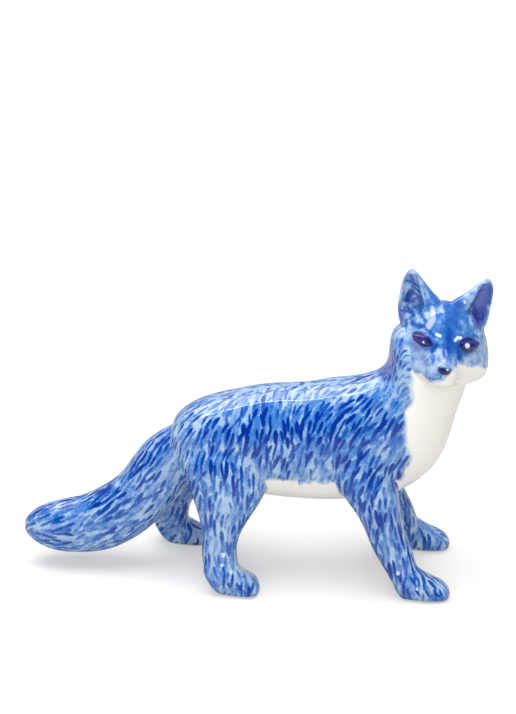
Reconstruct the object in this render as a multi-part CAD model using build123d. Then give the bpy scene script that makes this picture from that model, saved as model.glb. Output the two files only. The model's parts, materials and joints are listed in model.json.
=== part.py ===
from build123d import *
from math import cos, pi, radians, sin
import os

# Glazed porcelain fox that stands on four paws and looks over its right shoulder.
#
# The figure is stuck up from nine slip-cast pieces: a torso with its neck, a head, two ears,
# four legs and a tail. Each joint face is scribed to the piece that carries it, as a potter
# trims a cast limb to its seat before luting it on with slip.
#
# Millimetres, +X from tail to breast, +Y to the fox's left, +Z up. The origin is at the middle
# of the bounding box's underside, so the four soles lie in the plane Z = 0.

# Torso: rump to brisket, belly to back, flank to flank, belly above the soles
torso_length = 100.0
torso_depth = 43.0
torso_width = 38.0
belly_height = 33.8

# Neck: reach and rise of the nape from the withers and of the throat from the brisket
nape_reach = 17.4
nape_rise = 23.1
throat_reach = 31.6
throat_rise = 51.5
neck_width = 29.0

# Head: occiput to muzzle, cheek to cheek, chin to crown, and its centre from the neck's end
head_length = 39.0
head_width = 36.6
head_height = 31.0
head_forward = 2.4
head_side = -2.0
head_lift = 1.7
head_turn_deg = -88.0
head_roll_deg = 7.5

# Nose button, mouth line and raised almond eyes
nose_width = 5.0
nose_height = 3.8
nose_depth = 3.6
mouth_groove = 0.7
eye_width = 10.0
eye_height = 4.6
eye_depth = 3.4
eye_yaw_deg = 38.0
eye_lift_deg = 22.0
eye_slant_deg = -8.0

# Ears: root to tip, across the root, front to back, the wall left round the cup, and how far
# both sit from the middle of the skull
ear_height = 20.5
ear_width = 14.5
ear_thickness = 9.0
ear_wall = 1.5
ear_turn_deg = 14.0
ear_side = -1.6

# Hind legs: height of the hips, distance between them, thigh and shank
hip_height = 56.5
hip_spacing = 25.0
thigh_length = 32.0
thigh_width = 16.0
hind_shank_length = 13.3
hind_shank_width = 12.2

# Front legs: height of the shoulders, distance between them, upper arm and shank
shoulder_height = 56.5
shoulder_spacing = 25.0
shoulder_length = 25.0
shoulder_width = 16.4
front_shank_length = 14.0
front_shank_width = 12.4

# Paws and stance: sole to sole, size of a paw, size of the clefts between its toes, and how
# far the left legs step from the right ones
stance_width = 42.0
paw_length = 22.0
paw_width = 13.2
paw_height = 9.6
cleft_width = 0.9
cleft_length = 7.0
cleft_rise = 6.4
hind_step = -23.7
front_step = 1.8

# Tail: length along the ground, drop from root to tip, height of the tip, and its section
tail_reach = 70.0
tail_drop = 34.0
tail_tip_height = 16.3
tail_thickness = 22.5
tail_width = 21.0

# Places along the torso, from the rump as shares of its length
hip_share = 0.213
hind_shank_share = 0.198
hind_heel_share = 0.13
shoulder_share = 0.743
front_shank_share = 0.80
front_heel_share = 0.872
tail_root_share = 0.085

# Torso: upper and lower outline points, along from the rump and up from the belly, then width
torso_shares = [
    (0.002, 0.662, 0.003, 0.453, 0.263),
    (0.016, 0.740, 0.013, 0.326, 0.526),
    (0.066, 0.837, 0.058, 0.233, 0.737),
    (0.158, 0.929, 0.153, 0.140, 0.895),
    (0.288, 1.008, 0.288, 0.048, 0.947),
    (0.458, 1.059, 0.458, -0.010, 0.974),
    (0.618, 1.113, 0.628, -0.022, 1.00),
    (0.738, 1.155, 0.798, 0.012, 0.974),
]
# Neck: nape and throat points from the withers and the brisket, then width
neck_shares = [
    (0.36, 0.125, 0.443, 0.107, 1.172),
    (0.52, 0.31, 0.775, 0.33, 1.07),
    (0.56, 0.58, 0.92, 0.602, 1.02),
    (0.66, 0.86, 1.03, 0.845, 0.92),
    (1.00, 1.00, 1.00, 1.00, 0.60),
]
# Head from occiput to muzzle: along, crown, temple, cheek, cheek level, jaw, chin
head_shares = [
    (-0.396, 0.10, 0.055, 0.070, 0.005, 0.050, -0.08),
    (-0.376, 0.21, 0.120, 0.150, 0.000, 0.112, -0.18),
    (-0.325, 0.355, 0.220, 0.275, -0.018, 0.200, -0.305),
    (-0.230, 0.45, 0.305, 0.390, -0.050, 0.290, -0.40),
    (-0.090, 0.545, 0.370, 0.490, -0.110, 0.385, -0.49),
    (0.025, 0.545, 0.366, 0.500, -0.150, 0.400, -0.50),
    (0.128, 0.485, 0.325, 0.458, -0.170, 0.365, -0.48),
    (0.218, 0.385, 0.267, 0.371, -0.170, 0.300, -0.435),
    (0.295, 0.250, 0.203, 0.277, -0.160, 0.228, -0.385),
    (0.372, 0.150, 0.152, 0.210, -0.145, 0.175, -0.345),
    (0.462, 0.095, 0.120, 0.168, -0.130, 0.142, -0.31),
    (0.546, 0.050, 0.094, 0.132, -0.120, 0.112, -0.275),
    (0.595, 0.000, 0.060, 0.082, -0.110, 0.070, -0.22),
    (0.615, -0.050, 0.026, 0.034, -0.100, 0.028, -0.16),
]
nose_share = (0.605, 0, -0.01)
eye_share = (0.236, 0.235, 0.158)
# Ear from inside the skull to its tip: height, outward lean, half width, half thickness,
# then the outward lean and half width of its cup
ear_shares = [
    (-0.15, -0.05, 0.30, 0.36, 0.00, 0.20),
    (0.00, -0.07, 0.43, 0.42, 0.02, 0.28),
    (0.15, -0.10, 0.52, 0.46, 0.04, 0.33),
    (0.30, -0.13, 0.57, 0.45, 0.06, 0.35),
    (0.45, -0.11, 0.55, 0.40, 0.09, 0.32),
    (0.58, -0.006, 0.444, 0.35, 0.13, 0.275),
    (0.70, 0.083, 0.343, 0.29, 0.16, 0.225),
    (0.81, 0.148, 0.248, 0.23, 0.18, 0.165),
    (0.89, 0.18, 0.165, 0.17, 0.20, 0.10),
    (0.945, 0.20, 0.095, 0.11, 0.21, 0.05),
    (0.98, 0.21, 0.04, 0.05, 0.21, 0.02),
]
ear_root_share = (-0.06, 0.31, 0.26)
ear_cup_shares = (0.10, 0.93)
# Hind leg from hip to ankle: front and back outline points, half width
thigh_shares = [
    (0.25, 1.032, -0.375, 1.032, 0.31),
    (0.44, 0.926, -0.50, 0.943, 0.47),
    (0.50, 0.766, -0.47, 0.80, 0.50),
    (0.39, 0.616, -0.36, 0.616, 0.487),
]
hind_shank_shares = [
    (0.677, 0.474, -0.60, 0.474, 0.565),
    (0.466, 0.324, -0.564, 0.324, 0.508),
    (0.50, 0.190, -0.489, 0.182, 0.49),
    (0.40, 0.12, -0.16, 0.118, 0.30),
]
# Front leg from shoulder to wrist, in the same way
shoulder_shares = [
    (0.36, 1.10, -0.40, 1.10, 0.31),
    (0.46, 0.961, -0.52, 0.996, 0.47),
    (0.50, 0.802, -0.42, 0.82, 0.51),
    (0.58, 0.66, -0.17, 0.642, 0.475),
]
front_shank_shares = [
    (0.71, 0.527, -0.36, 0.50, 0.556),
    (0.91, 0.395, -0.09, 0.342, 0.508),
    (1.09, 0.271, 0.24, 0.20, 0.49),
    (1.20, 0.150, 0.50, 0.09, 0.42),
    (1.16, 0.09, 0.76, 0.06, 0.22),
]
# Paws from heel to toes: along, top, bottom, half width
hind_paw_shares = [
    (0.00, 1.25, 0.92, 0.12),
    (0.03, 1.45, 0.74, 0.27),
    (0.12, 1.52, 0.34, 0.38),
    (0.25, 1.54, 0.00, 0.43),
    (0.38, 1.50, -0.16, 0.46),
    (0.53, 1.36, -0.22, 0.485),
    (0.66, 1.04, -0.22, 0.50),
    (0.80, 0.81, -0.19, 0.50),
    (0.91, 0.62, -0.11, 0.45),
    (0.975, 0.42, 0.00, 0.30),
    (1.00, 0.30, 0.09, 0.12),
]
front_paw_shares = [
    (0.00, 1.05, 0.52, 0.12),
    (0.03, 1.25, 0.34, 0.27),
    (0.10, 1.36, 0.10, 0.38),
    (0.20, 1.42, -0.14, 0.43),
    (0.32, 1.38, -0.22, 0.46),
    (0.46, 1.20, -0.24, 0.485),
    (0.60, 0.98, -0.22, 0.50),
    (0.76, 0.79, -0.19, 0.48),
    (0.89, 0.61, -0.11, 0.42),
    (0.97, 0.42, 0.00, 0.28),
    (1.00, 0.30, 0.09, 0.12),
]
# Clefts between the toes: across the paw, then forward from the heel
cleft_shares = [(-0.24, 0.955), (0.0, 0.99), (0.24, 0.955)]
cleft_level_share = 0.50
# Mouth line: along, across and up the head, from under the nose to its corner
mouth_shares = [
    (0.617, 0.0, -0.142),
    (0.600, 0.062, -0.150),
    (0.560, 0.116, -0.152),
    (0.500, 0.150, -0.145),
    (0.440, 0.176, -0.130),
]
# Tail from root to tip: along and up the middle line, then thickness and width
tail_shares = [
    (-0.02, 1.13, 0.86, 0.78),
    (0.05, 1.04, 0.98, 0.88),
    (0.14, 0.90, 1.05, 0.95),
    (0.26, 0.57, 1.05, 0.99),
    (0.40, 0.265, 1.09, 1.01),
    (0.565, 0.07, 1.08, 0.99),
    (0.72, 0.01, 0.99, 0.92),
    (0.84, 0.00, 0.84, 0.80),
    (0.92, 0.00, 0.61, 0.58),
    (0.965, 0.00, 0.37, 0.35),
    (0.985, 0.00, 0.15, 0.14),
]
temple_share = 0.62
facet_share = 0.06
ring_steps = 12
ring_squareness = 2.15


def smooth_ring(points):
    """Closed spline through points spaced evenly in its parameter."""
    steps = [float(step) for step in range(len(points) + 1)]
    return Wire([Edge.make_spline(points, periodic=True, parameters=steps)])


def ring(plane, half_width, half_height):
    """Rounded section: half_width along the plane's X, half_height along its Y."""
    points = []
    for step in range(ring_steps):
        across, up = cos(2 * pi * step / ring_steps), sin(2 * pi * step / ring_steps)
        reach = abs(across) ** (2 / ring_squareness) * (1 if across > 0 else -1)
        lift = abs(up) ** (2 / ring_squareness) * (1 if up > 0 else -1)
        points.append(plane.from_local_coords((half_width * reach, half_height * lift, 0)))
    return smooth_ring(points)


def outline_ring(upper, lower, side, half_width):
    """Section between two points of a side outline, at a distance to the fox's left."""
    top = Vector(upper[0], side, upper[1])
    bottom = Vector(lower[0], side, lower[1])
    rise = top - bottom
    across = Vector(0, -1, 0)
    plane = Plane(origin=(top + bottom) / 2, x_dir=across, z_dir=across.cross(rise))
    return ring(plane, half_width, rise.length / 2)


def ellipsoid(plane, width, height, depth):
    """Egg form with its width along the plane's X and its height along the plane's Y."""
    return plane * scale(Sphere(1), (width / 2, height / 2, depth / 2))


def largest(shape):
    """The main solid of a trimmed piece, without the crumbs that trimming leaves."""
    return max(shape.solids(), key=lambda solid: solid.volume)


rump_x = -torso_length / 3


def along_torso(share):
    return rump_x + share * torso_length


def make_torso():
    """Rump, barrel and neck as one casting; also gives the middle of the neck's end."""
    wires = []
    for upper_x, upper_z, lower_x, lower_z, width in torso_shares:
        upper = along_torso(upper_x), belly_height + upper_z * torso_depth
        lower = along_torso(lower_x), belly_height + lower_z * torso_depth
        wires.append(outline_ring(upper, lower, 0, width * torso_width / 2))
    withers, brisket = upper, lower
    for nape_x, nape_z, throat_x, throat_z, width in neck_shares:
        upper = withers[0] + nape_x * nape_reach, withers[1] + nape_z * nape_rise
        lower = brisket[0] + throat_x * throat_reach, brisket[1] + throat_z * throat_rise
        wires.append(outline_ring(upper, lower, 0, width * neck_width / 2))
    neck_end = Vector((upper[0] + lower[0]) / 2, 0, (upper[1] + lower[1]) / 2)
    return Solid.make_loft(wires), neck_end


def head_frame(neck_end):
    """Plane in the middle of the skull: X out of the muzzle, Y to the left ear, Z to the crown."""
    turn, roll = radians(head_turn_deg), radians(head_roll_deg)
    facing = Vector(cos(turn), sin(turn), 0)
    left = Vector(0, 0, 1).cross(facing)
    crown = Vector(0, 0, 1) * cos(roll) + left * sin(roll)
    centre = neck_end + Vector(head_forward, head_side, head_lift)
    return Plane(origin=centre, x_dir=facing, z_dir=crown)


def on_head(frame, share, side=1):
    """Point given as shares of the head's length, width and height."""
    along, across, up = share
    return frame.from_local_coords((along * head_length, side * across * head_width, up * head_height))


def head_ring(frame, along, crown, temple, cheek, level, jaw, chin):
    """Section across the head through its crown, temples, cheeks, jaws and chin."""
    temple_height = level + temple_share * (crown - level)
    jaw_height = level + temple_share * (chin - level)
    half = [(0, crown), (temple, temple_height), (cheek, level), (jaw, jaw_height), (0, chin)]
    around = half + [(-across, height) for across, height in half[-2:0:-1]]
    return smooth_ring([on_head(frame, (along, across, height)) for across, height in around])


def make_eye(frame, side):
    """Almond that stands proud of the face, turned out and up with the cheek."""
    yaw, lift = radians(eye_yaw_deg) * side, radians(eye_lift_deg)
    outward = frame.x_dir * cos(yaw) * cos(lift) + frame.y_dir * sin(yaw) * cos(lift)
    outward = outward + frame.z_dir * sin(lift)
    across = frame.z_dir.cross(outward)
    plane = Plane(origin=on_head(frame, eye_share, side), x_dir=across, z_dir=outward)
    plane = plane.rotated((0, 0, side * eye_slant_deg))
    return ellipsoid(plane, eye_width, eye_height, eye_depth)


def make_mouth(frame):
    """Round cutter that runs along the lips from corner to corner."""
    half = [on_head(frame, share) for share in mouth_shares]
    other = [on_head(frame, share, -1) for share in mouth_shares[1:]]
    line = Edge.make_spline(other[::-1] + half)
    start = Plane(origin=line @ 0, z_dir=line % 0)
    return sweep(start * Circle(mouth_groove / 2), path=line)


def make_head(frame):
    head = Solid.make_loft([head_ring(frame, *shares) for shares in head_shares])
    nose_plane = Plane(origin=on_head(frame, nose_share), x_dir=frame.y_dir, z_dir=frame.x_dir)
    nose = ellipsoid(nose_plane, nose_width, nose_height, nose_depth)
    face = Part() + head + nose + make_eye(frame, 1) + make_eye(frame, -1)
    return face - make_mouth(frame)


def make_ear(frame, side):
    """Pointed ear with a cup in its front face."""
    turned = frame.rotated((0, 0, side * ear_turn_deg))
    outer, cup = [], []
    for height, lean, width, thickness, cup_lean, cup_width in ear_shares:
        root = on_head(frame, ear_root_share, side) + frame.y_dir * ear_side
        axis = root + frame.z_dir * height * ear_height
        half_thickness = thickness * ear_thickness
        centre = axis + frame.y_dir * side * lean * ear_width
        plane = Plane(origin=centre, x_dir=turned.y_dir, z_dir=frame.z_dir)
        outer.append(ring(plane, width * ear_width, half_thickness))
        if ear_cup_shares[0] < height < ear_cup_shares[1]:
            front = axis + frame.y_dir * side * cup_lean * ear_width + turned.x_dir * half_thickness
            cup_plane = Plane(origin=front, x_dir=turned.y_dir, z_dir=frame.z_dir)
            cup.append(ring(cup_plane, cup_width * ear_width, 2 * half_thickness - ear_wall))
    return Solid.make_loft(outer), cup


def make_limb(tables, root_height, side, spacing, step):
    """Limb lofted from its root to its ankle; it spreads and steps more the lower it is."""
    wires = []
    for shares, start, length, width in tables:
        for front_x, front_z, back_x, back_z, half in shares:
            level = (front_z + back_z) / 2
            shift = start + step * (1 - level * level)
            out = (spacing + (stance_width - spacing) * (1 - level)) / 2
            front = shift + front_x * length, front_z * root_height
            back = shift + back_x * length, back_z * root_height
            wires.append(outline_ring(front, back, side * out, half * width))
    return Solid.make_loft(wires)


def make_paw(paw_shares, heel, side):
    wires = []
    for along, top, bottom, half in paw_shares:
        upper = heel + along * paw_length, top * paw_height
        lower = heel + along * paw_length, bottom * paw_height
        wires.append(outline_ring(upper, lower, side * stance_width / 2, half * paw_width))
    return Solid.make_loft(wires)


def on_sole(leg, paw_shares, heel, side):
    """Leg with its paw, cleft between the toes and ground flat at the sole."""
    paw = make_paw(paw_shares, heel, side)
    ground_centre = (heel + paw_length / 2, side * stance_width / 2, 0)
    ground = Location(ground_centre) * Box(
        2 * paw_length, 2 * paw_width, paw_height, align=(Align.CENTER, Align.CENTER, Align.MAX)
    )
    clefts = []
    for across, forward in cleft_shares:
        place = Vector(heel + forward * paw_length, side * stance_width / 2 + across * paw_width)
        place = place + Vector(0, 0, cleft_level_share * paw_height)
        cleft_plane = Plane(origin=place, x_dir=(0, 1, 0), z_dir=(1, 0, 0))
        clefts.append(ellipsoid(cleft_plane, cleft_width, cleft_rise, cleft_length))
    return Part() + paw - ground - clefts + leg


def make_hind_leg(side, step):
    tables = [
        (thigh_shares, along_torso(hip_share), thigh_length, thigh_width),
        (hind_shank_shares, along_torso(hind_shank_share), hind_shank_length, hind_shank_width),
    ]
    leg = make_limb(tables, hip_height, side, hip_spacing, step)
    return on_sole(leg, hind_paw_shares, along_torso(hind_heel_share) + step, side)


def make_front_leg(side, step):
    tables = [
        (shoulder_shares, along_torso(shoulder_share), shoulder_length, shoulder_width),
        (front_shank_shares, along_torso(front_shank_share), front_shank_length, front_shank_width),
    ]
    leg = make_limb(tables, shoulder_height, side, shoulder_spacing, step)
    return on_sole(leg, front_paw_shares, along_torso(front_heel_share) + step, side)


def make_tail():
    """Brush of a tail lofted square to its middle line, from inside the rump to the tip."""
    root_x = along_torso(tail_root_share)
    middle = [
        Vector(root_x - along * tail_reach, 0, tail_tip_height + up * tail_drop)
        for along, up, _, _ in tail_shares
    ]
    wires = []
    for place, (_, _, thickness, width) in enumerate(tail_shares):
        before, after = middle[max(place - 1, 0)], middle[min(place + 1, len(middle) - 1)]
        plane = Plane(origin=middle[place], x_dir=(0, 1, 0), z_dir=after - before)
        wires.append(ring(plane, width * tail_width / 2, thickness * tail_thickness / 2))
    return Solid.make_loft(wires)


def make_pieces():
    """Every casting, trimmed to the one that carries it."""
    torso, neck_end = make_torso()
    frame = head_frame(neck_end)
    head = make_head(frame)
    torso = largest(Part() + torso - head)
    pieces = {"torso": torso, "head": largest(head)}
    legs = {
        "leg_hind_right": make_hind_leg(-1, 0),
        "leg_hind_left": make_hind_leg(1, hind_step),
        "leg_front_right": make_front_leg(-1, 0),
        "leg_front_left": make_front_leg(1, front_step),
    }
    tail = Part() + make_tail() - torso
    for name, leg in legs.items():
        pieces[name] = largest(leg - torso)
        tail = tail - pieces[name]
    pieces["tail"] = largest(tail)
    for name, side in {"ear_left": 1, "ear_right": -1}.items():
        ear, cup = make_ear(frame, side)
        pieces[name] = largest(Part() + ear - Solid.make_loft(cup) - head - torso)
    return pieces


def main():
    pieces = make_pieces()
    facet = facet_share * ear_wall
    lengths = [corner.X for piece in pieces.values() for corner in piece.tessellate(facet)[0]]
    centred = Location((-(min(lengths) + max(lengths)) / 2, 0, 0))
    for name, piece in pieces.items():
        export_step(centred * piece, f"parts/{name}.step")


os.makedirs("parts", exist_ok=True)
main()
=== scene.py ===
import json
import math
import time

import bpy
import numpy as np
import openvdb as vdb
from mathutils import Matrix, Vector
from mathutils.kdtree import KDTree

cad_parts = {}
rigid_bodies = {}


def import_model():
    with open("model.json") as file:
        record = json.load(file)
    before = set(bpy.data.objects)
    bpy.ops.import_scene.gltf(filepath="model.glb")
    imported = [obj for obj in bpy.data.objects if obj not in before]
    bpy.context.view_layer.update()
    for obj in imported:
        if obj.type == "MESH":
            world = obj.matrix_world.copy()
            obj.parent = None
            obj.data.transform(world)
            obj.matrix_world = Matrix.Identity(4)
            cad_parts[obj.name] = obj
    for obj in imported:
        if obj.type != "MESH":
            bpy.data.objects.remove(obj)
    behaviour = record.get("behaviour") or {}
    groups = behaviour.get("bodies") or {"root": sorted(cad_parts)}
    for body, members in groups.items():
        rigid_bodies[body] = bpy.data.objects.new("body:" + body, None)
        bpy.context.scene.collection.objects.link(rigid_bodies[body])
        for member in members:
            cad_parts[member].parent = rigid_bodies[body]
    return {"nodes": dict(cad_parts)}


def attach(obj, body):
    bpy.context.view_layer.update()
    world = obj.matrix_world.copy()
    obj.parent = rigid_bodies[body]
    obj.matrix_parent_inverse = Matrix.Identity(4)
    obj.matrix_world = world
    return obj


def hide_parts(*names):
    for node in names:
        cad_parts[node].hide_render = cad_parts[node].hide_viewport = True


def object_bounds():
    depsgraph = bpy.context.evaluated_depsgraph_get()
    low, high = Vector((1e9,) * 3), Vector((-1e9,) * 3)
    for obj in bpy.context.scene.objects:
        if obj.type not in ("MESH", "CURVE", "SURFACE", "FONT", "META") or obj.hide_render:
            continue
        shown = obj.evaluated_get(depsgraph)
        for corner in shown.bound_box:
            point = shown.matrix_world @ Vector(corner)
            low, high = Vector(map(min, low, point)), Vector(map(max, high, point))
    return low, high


for left_over in list(bpy.data.objects):
    bpy.data.objects.remove(left_over)
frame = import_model()
cad_low, cad_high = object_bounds()
started = time.time()


def clock(what):
    print(f"scene: {time.time() - started:6.1f} s  {what}", flush=True)


# Everything below is worked out in millimetres and written to the meshes in metres
MM = 0.001
VOXEL = 0.4
# Distances are kept up to this far from each casting
REACH = 7.0
SEED = 20

NODES = ["torso", "head", "ear_left", "ear_right", "leg_front_left", "leg_front_right",
         "leg_hind_left", "leg_hind_right", "tail"]
EARS = ["ear_left", "ear_right"]
HEAD_NODES = ["head", *EARS]
LEGS = [name for name in NODES if name.startswith("leg")]
# The tables below give places along the fox from a zero this far ahead of the tip of its tail
AHEAD_OF_TAIL = 91.65
ZERO = cad_low[0] / MM + AHEAD_OF_TAIL


def among(owner, names):
    """Whether each index in NODES is one of the named castings."""
    return np.isin(owner, [NODES.index(name) for name in names])


# Distance fields on one voxel lattice

# Castings run into one another, creases are filled and hard edges softened over these widths
CASTING_BLEND = 1.0
CREASE_BLUR = 2.6
CREASE_BLEND = 0.6
EDGE_BLUR = 0.45
EDGE_SHARE = 0.45
# From this height the filling fades, so that the head keeps its edges
CREASE_TOP = 84
CREASE_FADE = 3
CREASE_OFF = 4
# Half width of the blur's kernel, in standard deviations
KERNEL_REACH = 2.6


def length(vectors):
    return np.linalg.norm(vectors, axis=1)


def unit(vectors):
    return vectors / (length(vectors)[:, None] + 1e-9)


def node_mesh(name):
    """Corners in millimetres and triangles of a CAD node."""
    mesh = frame["nodes"][name].data
    corners = np.zeros(len(mesh.vertices) * 3, np.float32)
    mesh.vertices.foreach_get("co", corners)
    mesh.calc_loop_triangles()
    triangles = np.zeros(len(mesh.loop_triangles) * 3, np.int32)
    mesh.loop_triangles.foreach_get("vertices", triangles)
    return corners.reshape(-1, 3) / MM, triangles.reshape(-1, 3)


class Field:
    """Dense block of distances with the lattice index of its first voxel."""

    def __init__(self, values, first):
        self.values = values
        self.first = np.array(first)

    def at(self, points):
        """Distances at points, trilinear between voxels."""
        short_of_last = np.array(self.values.shape) - 1.001
        q = np.clip(points / VOXEL - self.first, 0, short_of_last)
        base = q.astype(np.int32)
        t = (q - base).astype(np.float32)
        flat = self.values.ravel()
        _, ny, nz = self.values.shape
        sx, sy = ny * nz, nz
        start = base[:, 0] * sx + base[:, 1] * sy + base[:, 2]
        total = np.zeros(len(points), np.float32)
        for dx in (0, 1):
            wx = t[:, 0] if dx else 1 - t[:, 0]
            for dy in (0, 1):
                wy = t[:, 1] if dy else 1 - t[:, 1]
                for dz in (0, 1):
                    wz = t[:, 2] if dz else 1 - t[:, 2]
                    total += wx * wy * wz * flat[start + dx * sx + dy * sy + dz]
        return total

    def gradient(self, points):
        out = np.zeros((len(points), 3), np.float32)
        for axis in range(3):
            move = np.zeros(3, np.float32)
            move[axis] = VOXEL
            out[:, axis] = self.at(points + move) - self.at(points - move)
        return out / (2 * VOXEL)

    def normals(self, points):
        return unit(self.gradient(points))


def node_field(name):
    """Distances round one casting."""
    corners, triangles = node_mesh(name)
    grid = vdb.FloatGrid.createLevelSetFromPolygons(
        corners, triangles=triangles, transform=vdb.createLinearTransform(voxelSize=VOXEL),
        halfWidth=REACH / VOXEL)
    low = np.floor((corners.min(0) - REACH) / VOXEL).astype(int)
    high = np.ceil((corners.max(0) + REACH) / VOXEL).astype(int)
    values = np.zeros(high - low + 1, np.float32)
    grid.copyToArray(values, ijk=tuple(int(i) for i in low))
    return Field(values, low)


def soft_min(a, b, blend):
    """The smaller of two distances with a rounded meeting."""
    near = np.maximum(blend - np.abs(a - b), 0) / blend
    return np.minimum(a, b) - near * near * blend / 4


def blur(values, sigma):
    """Gaussian blur along the three axes; sigma in millimetres."""
    s = sigma / VOXEL
    half = int(math.ceil(KERNEL_REACH * s))
    taps = np.exp(-0.5 * (np.arange(-half, half + 1) / s) ** 2)
    taps = (taps / taps.sum()).astype(np.float32)
    for axis in range(3):
        margins = [(half, half) if a == axis else (0, 0) for a in range(3)]
        padded = np.pad(values, margins, mode="edge")
        out = np.zeros_like(values)
        for i, tap in enumerate(taps):
            cut = [slice(None)] * 3
            cut[axis] = slice(i, i + values.shape[axis])
            out += tap * padded[tuple(cut)]
        values = out
    return values


def union_of(castings):
    """One field of all the castings, on a lattice that holds them all."""
    low = np.min([field.first for field in castings], axis=0)
    high = np.max([field.first + np.array(field.values.shape) for field in castings], axis=0)
    union = np.full(high - low, REACH, np.float32)
    for field in castings:
        start = field.first - low
        cut = tuple(slice(s, s + n) for s, n in zip(start, field.values.shape))
        union[cut] = soft_min(union[cut], field.values, CASTING_BLEND)
    return Field(union, low)


def glazed(field):
    """The same field with its creases filled and its hard edges softened, as glaze does."""
    height = (np.arange(field.values.shape[2]) + field.first[2]) * VOXEL
    fading = np.clip((height - CREASE_TOP) / CREASE_FADE, 0, CREASE_OFF).astype(np.float32)
    filled = soft_min(field.values, blur(field.values, CREASE_BLUR) + fading, CREASE_BLEND)
    return Field((1 - EDGE_SHARE) * filled + EDGE_SHARE * blur(filled, EDGE_BLUR), field.first)


fields = {name: node_field(name) for name in NODES}
clock("node fields")
surface = glazed(union_of(fields.values()))
clock(f"surface field {surface.values.shape}")


# One mesh over the whole figure

RELAX_ROUNDS = 4


def face_normals(points, quads):
    across = points[quads[:, 2]] - points[quads[:, 0]]
    return np.cross(across, points[quads[:, 3]] - points[quads[:, 1]])


def extract():
    """Corners and quads where the surface field is zero, facing outwards."""
    band = 3 * VOXEL
    grid = vdb.FloatGrid(band)
    grid.copyFromArray(np.clip(surface.values, -band, band), ijk=tuple(int(i) for i in surface.first))
    grid.transform = vdb.createLinearTransform(voxelSize=VOXEL)
    points, quads = grid.convertToQuads(isovalue=0)
    points = points.astype(np.float32)
    quads = quads.astype(np.int32)
    outwards = np.sum(face_normals(points, quads) * points[quads[:, 0]], axis=1).sum() > 0
    return points, quads if outwards else quads[:, ::-1]


def settle(points, rounds=2):
    """Slides points onto the surface along its gradient."""
    for _ in range(rounds):
        points = points - surface.at(points)[:, None] * surface.normals(points)
    return points


def sides(quads):
    """Both corners of each side of each quad, the lower index first."""
    return np.sort(np.stack([quads, np.roll(quads, -1, axis=1)], axis=2).reshape(-1, 2), axis=1)


def pair_keys(pairs, size):
    """One whole number for each pair of corners."""
    return pairs[:, 0].astype(np.int64) * size + pairs[:, 1]


def neighbour_mean(points, edges):
    total = np.zeros_like(points)
    count = np.bincount(edges.ravel(), minlength=len(points))
    for axis in range(points.shape[1]):
        total[:, axis] = (np.bincount(edges[:, 0], points[edges[:, 1], axis], len(points))
                          + np.bincount(edges[:, 1], points[edges[:, 0], axis], len(points)))
    return total / np.maximum(count, 1)[:, None]


def relax(points, edges, rounds):
    """Evens out the spacing of the points and keeps them on the surface."""
    for _ in range(rounds):
        points = points + 0.5 * (neighbour_mean(points, edges) - points)
        points = settle(points, 1)
    return points


def owners(points):
    """Index in NODES of the casting nearest to each point."""
    best = np.full(len(points), np.inf)
    nearest = np.zeros(len(points), np.int32)
    for i, name in enumerate(NODES):
        field = fields[name]
        q = points / VOXEL - field.first
        inside = np.all((q > 0) & (q < np.array(field.values.shape) - 1), axis=1)
        distance = np.full(len(points), np.inf)
        distance[inside] = field.at(points[inside])
        closer = distance < best
        best[closer] = distance[closer]
        nearest[closer] = i
    return nearest


def split_faces(points, quads, chosen):
    """Cuts the chosen quads in four; the others keep their corners."""
    part, kept = quads[chosen], quads[~chosen]
    edges, back = np.unique(sides(part), axis=0, return_inverse=True)
    middles = points[edges].mean(axis=1)
    first_middle = len(points)
    first_centre = first_middle + len(edges)
    m = back.reshape(-1, 4) + first_middle
    c = np.arange(len(part)) + first_centre
    four = [np.stack([part[:, i], m[:, i], c, m[:, i - 1]], axis=1) for i in range(4)]
    # Middles of edges that a kept quad also uses stay on the straight edge
    size = len(points) + 1
    shared = np.isin(pair_keys(edges, size), pair_keys(sides(kept), size))
    middles[~shared] = settle(middles[~shared])
    centres = settle(points[part].mean(axis=1))
    everything = np.concatenate([points, middles, centres])
    return everything.astype(np.float32), kept, np.concatenate(four)


def point_normals(points, quads):
    n = face_normals(points, quads)
    total = np.zeros_like(points)
    for axis in range(3):
        for corner in range(4):
            total[:, axis] += np.bincount(quads[:, corner], n[:, axis], len(points))
    return total / (length(total)[:, None] + 1e-12)


skin, quads = extract()
skin = settle(relax(skin, np.unique(sides(quads), axis=0), RELAX_ROUNDS))
clock(f"mesh {skin.shape} {quads.shape}")

# The head has the finest detail, so its faces are cut in four
face_owner = owners(skin[quads].mean(axis=1))
is_head = among(face_owner, HEAD_NODES)
skin, body_quads, head_quads = split_faces(skin, quads, is_head)
quads = np.concatenate([body_quads, head_quads])
face_owner = np.concatenate([face_owner[~is_head], np.tile(face_owner[is_head], 4)])
in_head = np.zeros(len(skin), bool)
in_head[head_quads.ravel()] = True
outward = surface.normals(skin)
clock(f"head refined {skin.shape} {quads.shape}")


# Places on the head: out of the muzzle, to the left ear, to the crown

HEAD_CENTRE = np.array([72.46 + ZERO, -2.0, 97.77])
FACING = np.array([0.035, -0.999, 0.0])
LEFT = np.array([0.999, 0.035, 0.0])
CROWN = np.array([0.1305, 0.0046, 0.9914])


def on_head(points):
    away = points - HEAD_CENTRE
    return np.stack([away @ FACING, away @ LEFT, away @ CROWN], axis=1)


def on_side(place, side):
    """A place on the head given for its left, side 1, or mirrored to its right, side -1."""
    return np.array([place[0], place[1] * side, place[2]])


def layer(value=0.0):
    """The same value on every point of the skin."""
    return np.full(len(skin), value, np.float32)


def smoothstep(x, low_end, high_end):
    t = np.clip((x - low_end) / (high_end - low_end), 0, 1)
    return t * t * (3 - 2 * t)


def groove(distance, width):
    return np.exp(-(distance / width) ** 2)


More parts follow.
